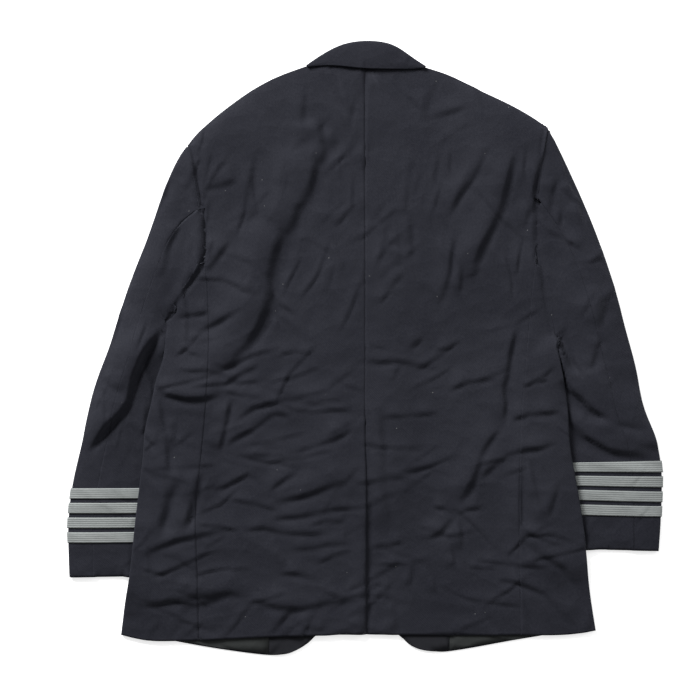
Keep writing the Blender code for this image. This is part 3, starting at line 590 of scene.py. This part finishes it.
def seam_moves(name):
    """The rim points with a neighbour, how far each moves, and how deep the sewing pulls it."""
    is_sleeve = "sleeve" in name
    alike = [other for other in SEWN if other != name and ("sleeve" in other) == is_sleeve]
    across = [other for other in SEWN if ("sleeve" in other) != is_sleeve]
    level = VENT_LEVEL if name.startswith("back") else SAME_LEVEL
    found = []
    for place, is_low in rim_places(PIECES[name]):
        along = way_to(place, alike, level)
        over = way_to(place, across, SAME_LEVEL)
        move = along * SEAM_CLOSED + along.normalized() * SEAM_OVERLAP
        if is_sleeve:
            move += over + over.normalized() * SLEEVE_UNDER
        if is_low and over.length > 0:
            out = Vector((along.x + over.x, along.y + over.y, 0))
            move += out.normalized() * ALLOWANCE
        if move.length > 0:
            depth = ARMHOLE_DEPTH if over.length > 0 else SEAM_DEPTH
            found.append((place, move, 0 if is_low else depth))
    return found


SEAM_PLACES = []
for name in SEWN:
    moves = seam_moves(name)
    tree = tree_of([place for place, _, _ in moves])
    places = places_of(PIECES[name])
    for index, place in enumerate(places):
        _, nearest, away = tree.find(place)
        if away < SEAM_FOLLOWS:
            share = 1 - smooth(away / SEAM_FOLLOWS)
            places[index] += np.array(moves[nearest][1]) * share
    move_to(PIECES[name], places)
    SEAM_PLACES += [(place + move, depth) for place, move, depth in moves if depth > 0]
seam_tree = tree_of([place for place, _ in SEAM_PLACES])
print("points on seams:", len(SEAM_PLACES))


def seam_groove(places):
    """How far the sewing pulls each place down."""
    near = [seam_tree.find(place) for place in places]
    away = np.array([distance for _, _, distance in near])
    depth = np.array([SEAM_PLACES[index][1] for _, index, _ in near])
    return depth * np.exp(-((away / SEAM_WIDTH) ** 2))


# %% [markdown]
# ## Pressing the creases in
# The relief moves the cloth up and down only, so the outline stays as it was cut. The panels on
# the jacket's front lie flat under the rest, so they get a lower relief of their own that never
# goes down through the floor.

# %% Creases of the back, the sleeves and the collar
COLLAR_RELIEF = 0.35
for name in TOP_PANELS:
    places = places_of(PIECES[name])
    share = top_share(places)
    lift = back_relief(places[:, 0] / MM, places[:, 1] / MM) * MM
    if name == "collar_fall":
        lift *= COLLAR_RELIEF
    else:
        lift -= seam_groove(places)
    places[:, 2] = np.maximum(places[:, 2] + share * lift, 0)
    move_to(PIECES[name], places)
    print(name, "lift from", round(lift.min() / MM, 1), "to", round(lift.max() / MM, 1), "mm")

# %% Creases of the fronts and what is sewn to them
FRONT_LIFT = 0.9 * MM
FRONT_SEED = 60
for name in CLOTH_NODES:
    if name.startswith(("front", "facing", "lining")):
        places = places_of(PIECES[name])
        rise = 0.5 + 0.4 * crumples(places[:, 0] / MM, places[:, 1] / MM, FRONT_SEED)
        places[:, 2] += FRONT_LIFT * np.clip(rise, 0, 1)
        move_to(PIECES[name], places)

# %% [markdown]
# ## Weave, crumple and lint
# Three effects are shared by the materials, so each is a node group. The twill group draws the
# fine diagonal cords of worsted cloth, the crumple group adds the smallest creases that the mesh
# is too coarse for, and the lint group scatters a few pale threads and dust.

# %% Helpers for node trees
def put(tree, kind, values=None, **settings):
    """A new node with its settings and the values of its inputs."""
    node = tree.nodes.new(kind)
    for setting, value in settings.items():
        setattr(node, setting, value)
    for name, value in (values or {}).items():
        node.inputs[name].default_value = value
    return node


def maths(tree, operation, first, second):
    """A Math node of two sockets or numbers, as its output."""
    node = put(tree, "ShaderNodeMath", operation=operation)
    for index, value in enumerate((first, second)):
        if isinstance(value, (int, float)):
            node.inputs[index].default_value = value
        else:
            tree.links.new(value, node.inputs[index])
    return node.outputs[0]


def mixed(tree, share, first, second):
    """Two colours mixed by a share, as an output."""
    node = put(tree, "ShaderNodeMix", data_type="RGBA")
    tree.links.new(share, node.inputs["Factor"])
    for name, colour in (("A", first), ("B", second)):
        socket = next(s for s in node.inputs if s.name == name and s.type == "RGBA")
        if isinstance(colour, tuple):
            socket.default_value = (*colour, 1)
        else:
            tree.links.new(colour, socket)
    return next(s for s in node.outputs if s.type == "RGBA")


def new_group(name, inputs, outputs):
    """A shader node group with float inputs beside a Place, and its two end nodes."""
    group = bpy.data.node_groups.new(name, "ShaderNodeTree")
    group.interface.new_socket("Place", in_out="INPUT", socket_type="NodeSocketVector")
    for socket_name, value in inputs.items():
        kind = "NodeSocketFloat"
        socket = group.interface.new_socket(socket_name, in_out="INPUT", socket_type=kind)
        socket.default_value = value
    for socket_name in outputs:
        kind = "NodeSocketFloat"
        group.interface.new_socket(socket_name, in_out="OUTPUT", socket_type=kind)
    return group, put(group, "NodeGroupInput"), put(group, "NodeGroupOutput")


# %% Twill
def twill_group():
    """Fine diagonal cords, uneven like spun yarn."""
    group, start, end = new_group("twill", {"Pitch": 1.1 * MM}, ["Height", "Shade"])
    scale = maths(group, "DIVIDE", 1.0, start.outputs["Pitch"])
    place = put(group, "ShaderNodeVectorMath", operation="SCALE")
    group.links.new(start.outputs["Place"], place.inputs[0])
    group.links.new(scale, place.inputs["Scale"])
    cords = put(
        group,
        "ShaderNodeTexWave",
        {"Scale": 0.32, "Distortion": 1.1, "Detail": 1.0, "Detail Scale": 0.6},
        wave_type="BANDS",
        bands_direction="DIAGONAL",
    )
    yarn = put(group, "ShaderNodeTexNoise", {"Scale": 0.8, "Detail": 2.0, "Roughness": 0.7})
    group.links.new(place.outputs[0], cords.inputs["Vector"])
    group.links.new(place.outputs[0], yarn.inputs["Vector"])
    cord_part = maths(group, "MULTIPLY", cords.outputs["Fac"], 0.55)
    yarn_part = maths(group, "MULTIPLY", yarn.outputs["Fac"], 0.45)
    group.links.new(maths(group, "ADD", cord_part, yarn_part), end.inputs["Height"])
    spread = maths(group, "MULTIPLY", maths(group, "SUBTRACT", yarn.outputs["Fac"], 0.5), 2.2)
    group.links.new(maths(group, "ADD", spread, 0.5), end.inputs["Shade"])
    return group


TWILL = twill_group()


# %% Crumple
def crumple_group():
    """Small flat facets that meet along sharp creases, as high as they are wide."""
    group, start, end = new_group("crumple", {"Size": 40 * MM}, ["Height"])
    scale = maths(group, "DIVIDE", 1.0, start.outputs["Size"])
    place = put(group, "ShaderNodeVectorMath", operation="SCALE")
    group.links.new(start.outputs["Place"], place.inputs[0])
    group.links.new(scale, place.inputs["Scale"])
    bend = put(group, "ShaderNodeTexNoise", {"Scale": 0.7, "Detail": 1.0})
    group.links.new(place.outputs[0], bend.inputs["Vector"])
    longer = put(group, "ShaderNodeMapping", {"Rotation": (0, 0, 0.35), "Scale": (0.8, 1.0, 1.0)})
    group.links.new(place.outputs[0], longer.inputs["Vector"])
    bent = put(group, "ShaderNodeVectorMath", operation="ADD")
    group.links.new(longer.outputs[0], bent.inputs[0])
    group.links.new(bend.outputs["Color"], bent.inputs[1])
    cells = put(group, "ShaderNodeTexVoronoi", {"Scale": 1.0, "Randomness": 1.0})
    group.links.new(bent.outputs[0], cells.inputs["Vector"])
    height = maths(group, "MULTIPLY", cells.outputs["Distance"], start.outputs["Size"])
    group.links.new(height, end.inputs["Height"])
    return group


CRUMPLE = crumple_group()


# %% Lint
def lint_group():
    """1 on a few specks of lint, 0 elsewhere."""
    group, start, end = new_group("lint", {"Spacing": 26 * MM}, ["Mask"])
    scale = maths(group, "DIVIDE", 1.0, start.outputs["Spacing"])
    place = put(group, "ShaderNodeVectorMath", operation="SCALE")
    group.links.new(start.outputs["Place"], place.inputs[0])
    group.links.new(scale, place.inputs["Scale"])
    cells = put(group, "ShaderNodeTexVoronoi", {"Scale": 1.0, "Randomness": 1.0})
    group.links.new(place.outputs[0], cells.inputs["Vector"])
    near = maths(group, "LESS_THAN", cells.outputs["Distance"], 0.022)
    group.links.new(near, end.inputs["Mask"])
    return group


LINT = lint_group()
print("node groups:", [group.name for group in bpy.data.node_groups])

# %% [markdown]
# ## Cloth materials
# Worsted wool is almost black, a little blue, and dull with a faint sheen on its slopes. The
# facing is the same wool turned inside, and the lining is a smoother olive-grey satin. One
# function makes all three, because they differ only in their colours and values.

# %% Wool, facing and lining
FACETS = ((46 * MM, 1.0), (17 * MM, 0.8))


def cloth_material(name, dark, light, roughness, sheen, pitch, weave_depth, crumple_share):
    """A woven cloth of two close colours."""
    material = bpy.data.materials.new(name)
    material.use_nodes = True
    tree = material.node_tree
    shader = tree.nodes["Principled BSDF"]
    shader.inputs["Roughness"].default_value = roughness
    shader.inputs["Sheen Weight"].default_value = sheen
    shader.inputs["Sheen Roughness"].default_value = 0.45
    shader.inputs["Sheen Tint"].default_value = (0.80, 0.84, 1.0, 1)
    shader.inputs["Specular IOR Level"].default_value = 0.14
    place = put(tree, "ShaderNodeTexCoord").outputs["Object"]
    groups = {}
    for group in (TWILL, LINT):
        groups[group.name] = put(tree, "ShaderNodeGroup", node_tree=group)
        tree.links.new(place, groups[group.name].inputs["Place"])
    groups["twill"].inputs["Pitch"].default_value = pitch
    patches = put(tree, "ShaderNodeTexNoise", {"Scale": 11.0, "Detail": 4.0, "Roughness": 0.6})
    tree.links.new(place, patches.inputs["Vector"])
    shade = maths(tree, "MULTIPLY", groups["twill"].outputs["Shade"], 0.45)
    patch = maths(tree, "MULTIPLY", patches.outputs["Fac"], 0.55)
    colour = mixed(tree, maths(tree, "ADD", shade, patch), dark, light)
    lint = maths(tree, "MULTIPLY", groups["lint"].outputs["Mask"], 0.5)
    tree.links.new(mixed(tree, lint, colour, (0.30, 0.30, 0.29)), shader.inputs["Base Color"])
    height = maths(tree, "MULTIPLY", groups["twill"].outputs["Height"], weave_depth)
    for size, share in FACETS:
        facets = put(tree, "ShaderNodeGroup", node_tree=CRUMPLE)
        facets.inputs["Size"].default_value = size
        tree.links.new(place, facets.inputs["Place"])
        steep = maths(tree, "MULTIPLY", facets.outputs["Height"], crumple_share * share)
        height = maths(tree, "ADD", height, steep)
    bump = put(tree, "ShaderNodeBump", {"Strength": 1.0, "Distance": 1.0})
    tree.links.new(height, bump.inputs["Height"])
    tree.links.new(bump.outputs["Normal"], shader.inputs["Normal"])
    return material


WOOL = cloth_material(
    "navy_wool", (0.0050, 0.0054, 0.0100), (0.0235, 0.0245, 0.0322), 0.80, 0.08,
    1.6 * MM, 0.22 * MM, 0.05,
)
FACING = cloth_material(
    "facing_wool", (0.0105, 0.0110, 0.0140), (0.0180, 0.0185, 0.0220), 0.78, 0.06,
    1.6 * MM, 0.22 * MM, 0.04,
)
LINING = cloth_material(
    "olive_grey_lining", (0.0220, 0.0240, 0.0238), (0.0330, 0.0355, 0.0350), 0.55, 0.06,
    0.9 * MM, 0.06 * MM, 0.04,
)
print("cloth materials:", WOOL.name, FACING.name, LINING.name)

# %% [markdown]
# ## Braid
# The rank braid is a flat woven tape of silver-grey thread with shallow ribs along it; the grooves
# between the ribs get painted shade. Two values are stored on every vertex of the tape, how far it is
# across and along, so that the ribs and the threads follow the tape round the sleeve.

# %% Places on the tape
TAPE_WIDTH = 14.3 * MM


def store_tape_places(piece):
    """Save how far each vertex is across and along the tape."""
    places = places_of(piece)
    x, y = places[:, 0], places[:, 1]
    middle = np.polyval(np.polyfit(x, y, 2), x)
    across = piece.data.attributes.new("across", "FLOAT", "POINT")
    across.data.foreach_set("value", (y - middle) / TAPE_WIDTH + 0.5)
    along = piece.data.attributes.new("along", "FLOAT", "POINT")
    along.data.foreach_set("value", x)


# %% Braid material
RIBS = 5
RIB_TURNS = 2 * math.pi * RIBS


def braid_material():
    """Silver-grey woven tape with ribs along it, fine threads across and painted shade in the grooves.
    """
    material = bpy.data.materials.new("silver_grey_braid")
    material.use_nodes = True
    tree = material.node_tree
    shader = tree.nodes["Principled BSDF"]
    shader.inputs["Roughness"].default_value = 0.6
    shader.inputs["Metallic"].default_value = 0.1
    shader.inputs["Specular IOR Level"].default_value = 0.35
    across = put(tree, "ShaderNodeAttribute", attribute_name="across").outputs["Fac"]
    along = put(tree, "ShaderNodeAttribute", attribute_name="along").outputs["Fac"]
    turn = maths(tree, "MULTIPLY", across, RIB_TURNS)
    ribs = maths(tree, "COSINE", turn, 0.0)
    groove = maths(tree, "MULTIPLY", maths(tree, "ADD", ribs, 1.0), 0.5)
    groove = maths(tree, "POWER", groove, 3.0)
    thread_place = put(tree, "ShaderNodeCombineXYZ")
    tree.links.new(maths(tree, "MULTIPLY", along, 260.0), thread_place.inputs["X"])
    tree.links.new(maths(tree, "MULTIPLY", across, 9.0), thread_place.inputs["Y"])
    thread = put(tree, "ShaderNodeTexNoise", {"Scale": 1.0, "Detail": 3.0, "Roughness": 0.65})
    tree.links.new(thread_place.outputs[0], thread.inputs["Vector"])
    worn = put(tree, "ShaderNodeTexNoise", {"Scale": 45.0, "Detail": 3.0})
    tree.links.new(put(tree, "ShaderNodeTexCoord").outputs["Object"], worn.inputs["Vector"])
    tone = maths(tree, "MULTIPLY", thread.outputs["Fac"], 0.65)
    tone = maths(tree, "ADD", tone, maths(tree, "MULTIPLY", worn.outputs["Fac"], 0.35))
    silver = mixed(tree, tone, (0.155, 0.168, 0.166), (0.345, 0.365, 0.360))
    # Painted shade: the grooves between the ribs are mixed towards a dark grey, as if shade fell in
    # them.
    dark = maths(tree, "MULTIPLY", groove, 0.45)
    tree.links.new(
        mixed(tree, dark, silver, (0.10, 0.11, 0.11)),
        shader.inputs["Base Color"],
    )
    height = maths(tree, "MULTIPLY", groove, -0.25 * MM)
    height = maths(tree, "ADD", height, maths(tree, "MULTIPLY", thread.outputs["Fac"], 0.2 * MM))
    bump = put(tree, "ShaderNodeBump", {"Strength": 1.0, "Distance": 1.0})
    tree.links.new(height, bump.inputs["Height"])
    tree.links.new(bump.outputs["Normal"], shader.inputs["Normal"])
    return material


BRAID = braid_material()

# %% Braid follows the cuff's relief
for name in CLOTH_NODES:
    if name.startswith("braid"):
        places = places_of(PIECES[name])
        share = top_share(places)
        lift = back_relief(places[:, 0] / MM, places[:, 1] / MM) * MM
        store_tape_places(PIECES[name])
        places[:, 2] = np.maximum(places[:, 2] + share * lift, 0)
        move_to(PIECES[name], places)

# %% [markdown]
# ## Buttons
# Three metal buttons close the front, so they lie between the fronts and the floor with their
# faces down. One is modelled as by hand: a disc whose face is inset and pulled step by step into
# a rim, a groove and a low dome. The others are copies with meshes of their own.

# %% A plain domed button
def face_down(mesh, flat_share):
    """Select the faces that look straight down."""
    shape = bmesh.from_edit_mesh(mesh)
    for face in shape.faces:
        face.select_set(face.normal.z < -flat_share and len(face.verts) > 4)
    shape.select_flush_mode()
    bmesh.update_edit_mesh(mesh)


BUTTON_WIDE, BUTTON_DEEP, BUTTON_DOWN = 0.98, 0.5, 0.35
BUTTON_ROUNDING = 0.15 * MM
BUTTON_STEPS = ((0.05, 0.0), (0.09, -0.10), (0.05, 0.12), (0.12, -0.12), (0.20, -0.07), (0.22, -0.03))


def first_button():
    """The button at the first packed button's place."""
    low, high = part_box("button_1")
    radius = (high.x - low.x) / 2
    depth = high.z - low.z
    bpy.ops.object.select_all(action="DESELECT")
    bpy.ops.mesh.primitive_cylinder_add(
        vertices=48,
        radius=radius * BUTTON_WIDE,
        depth=depth * BUTTON_DEEP,
        location=((low.x + high.x) / 2, (low.y + high.y) / 2, high.z - depth * BUTTON_DOWN),
    )
    button = bpy.context.object
    bpy.ops.object.mode_set(mode="EDIT")
    bpy.ops.mesh.select_mode(type="FACE")
    for inset, down in BUTTON_STEPS:
        face_down(button.data, 0.9)
        bpy.ops.mesh.inset(thickness=radius * inset)
        bpy.ops.transform.translate(value=(0, 0, depth * down))
    bpy.ops.object.mode_set(mode="OBJECT")
    bpy.ops.object.transform_apply(location=True, rotation=True, scale=True)
    rounding = button.modifiers.new("rounding", "BEVEL")
    rounding.width = BUTTON_ROUNDING
    rounding.segments = 2
    rounding.limit_method = "ANGLE"
    finish_shape(button, rounding)
    bpy.ops.object.shade_smooth_by_angle(angle=math.radians(35))
    return button


def button_material():
    """Satin silver metal, a little darker where it is rubbed less."""
    material = bpy.data.materials.new("satin_metal")
    material.use_nodes = True
    tree = material.node_tree
    shader = tree.nodes["Principled BSDF"]
    shader.inputs["Metallic"].default_value = 0.9
    place = put(tree, "ShaderNodeTexCoord").outputs["Object"]
    wear = put(tree, "ShaderNodeTexNoise", {"Scale": 300.0, "Detail": 4.0})
    tree.links.new(place, wear.inputs["Vector"])
    metal = mixed(tree, wear.outputs["Fac"], (0.34, 0.34, 0.35), (0.60, 0.60, 0.62))
    tree.links.new(metal, shader.inputs["Base Color"])
    rough = maths(tree, "ADD", maths(tree, "MULTIPLY", wear.outputs["Fac"], 0.3), 0.2)
    tree.links.new(rough, shader.inputs["Roughness"])
    return material


METAL = button_material()
BUTTONS = ["button_1", "button_2", "button_3"]
button = first_button()
button.name = "button_1_metal"
first_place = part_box("button_1")[0]
for name in BUTTONS:
    piece = button
    if name != "button_1":
        piece = bpy.data.objects.new(name + "_metal", button.data.copy())
        bpy.context.scene.collection.objects.link(piece)
        places = places_of(piece) + np.array(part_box(name)[0] - first_place)
        move_to(piece, places)
    piece.data.materials.clear()
    piece.data.materials.append(METAL)
    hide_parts(name)
    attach(piece, "root")
print("buttons:", len(BUTTONS), "faces each:", len(button.data.polygons))

# %% [markdown]
# ## Materials of the panels
# Each panel gets the material of its cloth: braid, lining, facing or wool. The packed panel is
# hidden, and its fine copy is hung under the root.

SLOTS = {"braid": ("braid", BRAID), "lining": ("lining", LINING), "facing": ("wool", FACING)}


for name in CLOTH_NODES:
    piece = PIECES[name]
    slot, material = SLOTS.get(name.split("_")[0], ("wool", WOOL))
    piece.data.materials.clear()
    piece.data.materials.append(material)
    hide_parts(name)
    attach(piece, "root")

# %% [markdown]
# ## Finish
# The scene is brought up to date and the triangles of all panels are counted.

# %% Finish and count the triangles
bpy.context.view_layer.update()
triangles = sum(2 * len(piece.data.polygons) for piece in PIECES.values())
print("triangles:", triangles)
